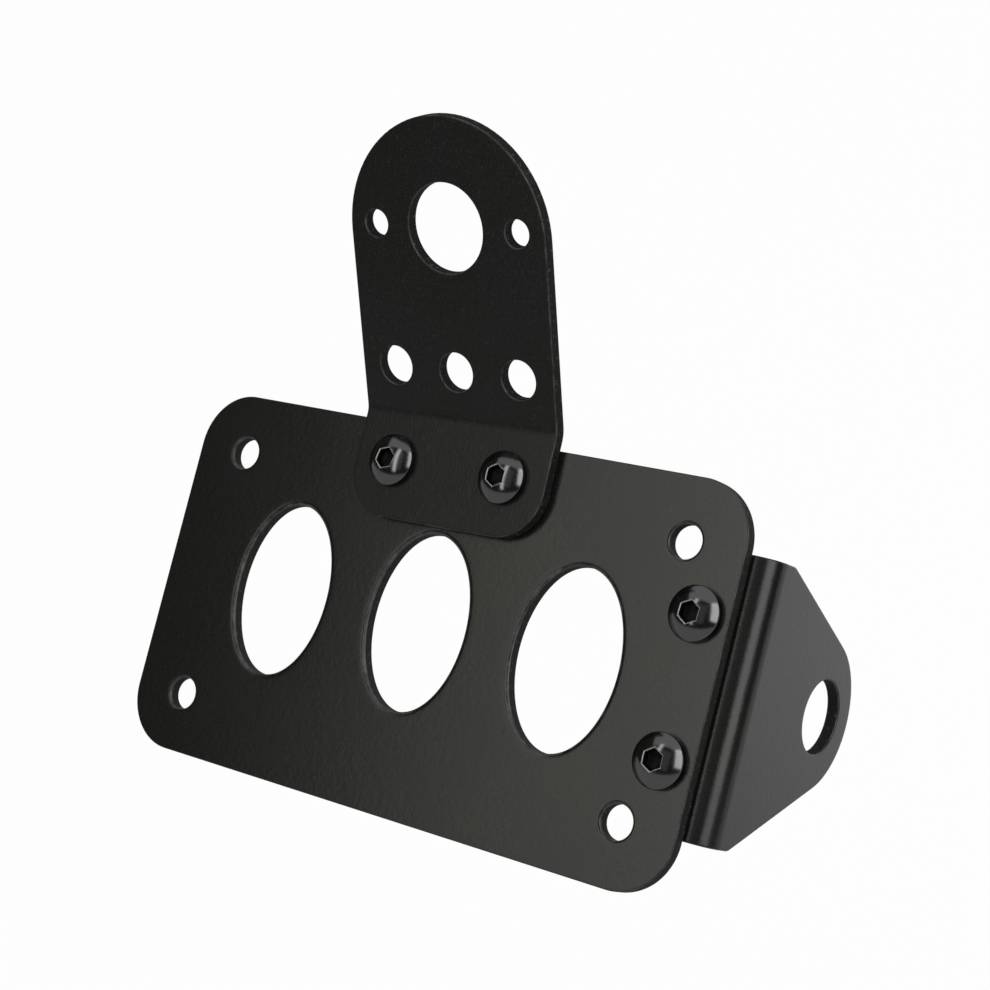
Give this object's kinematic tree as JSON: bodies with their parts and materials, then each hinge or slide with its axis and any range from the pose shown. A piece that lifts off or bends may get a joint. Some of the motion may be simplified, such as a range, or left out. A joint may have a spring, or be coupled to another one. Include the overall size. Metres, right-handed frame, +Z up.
{
  "type": "side mount number plate holder",
  "caption": "Black steel plate holder for the side of a motorcycle, with a leaning lamp bracket and an angle bracket that slides over the wheel axle.",
  "frame": {"origin": "centre of the axle bore, halfway through its wall", "axes": "+X to the right across the number plate, along the axle bore; +Y away from the person who reads the plate; +Z up the plate"},
  "size_m": [0.1867, 0.1055, 0.1766],
  "materials": {
    "powder_coat": "satin black powder coat on sheet steel",
    "screw_plating": "semi-gloss black plated steel",
    "nut_plating": "dull black plated steel"
  },
  "bodies": {
    "root": {"number_plate_carrier": "powder_coat", "lamp_bracket": "powder_coat", "side_bracket": "powder_coat", "lamp_screw_left": "screw_plating", "lamp_washer_left": "nut_plating", "lamp_nut_left": "nut_plating", "lamp_screw_right": "screw_plating", "lamp_washer_right": "nut_plating", "lamp_nut_right": "nut_plating", "side_screw_upper": "screw_plating", "side_washer_upper": "nut_plating", "side_nut_upper": "nut_plating", "side_screw_lower": "screw_plating", "side_washer_lower": "nut_plating", "side_nut_lower": "nut_plating"}
  },
  "joints": []
}
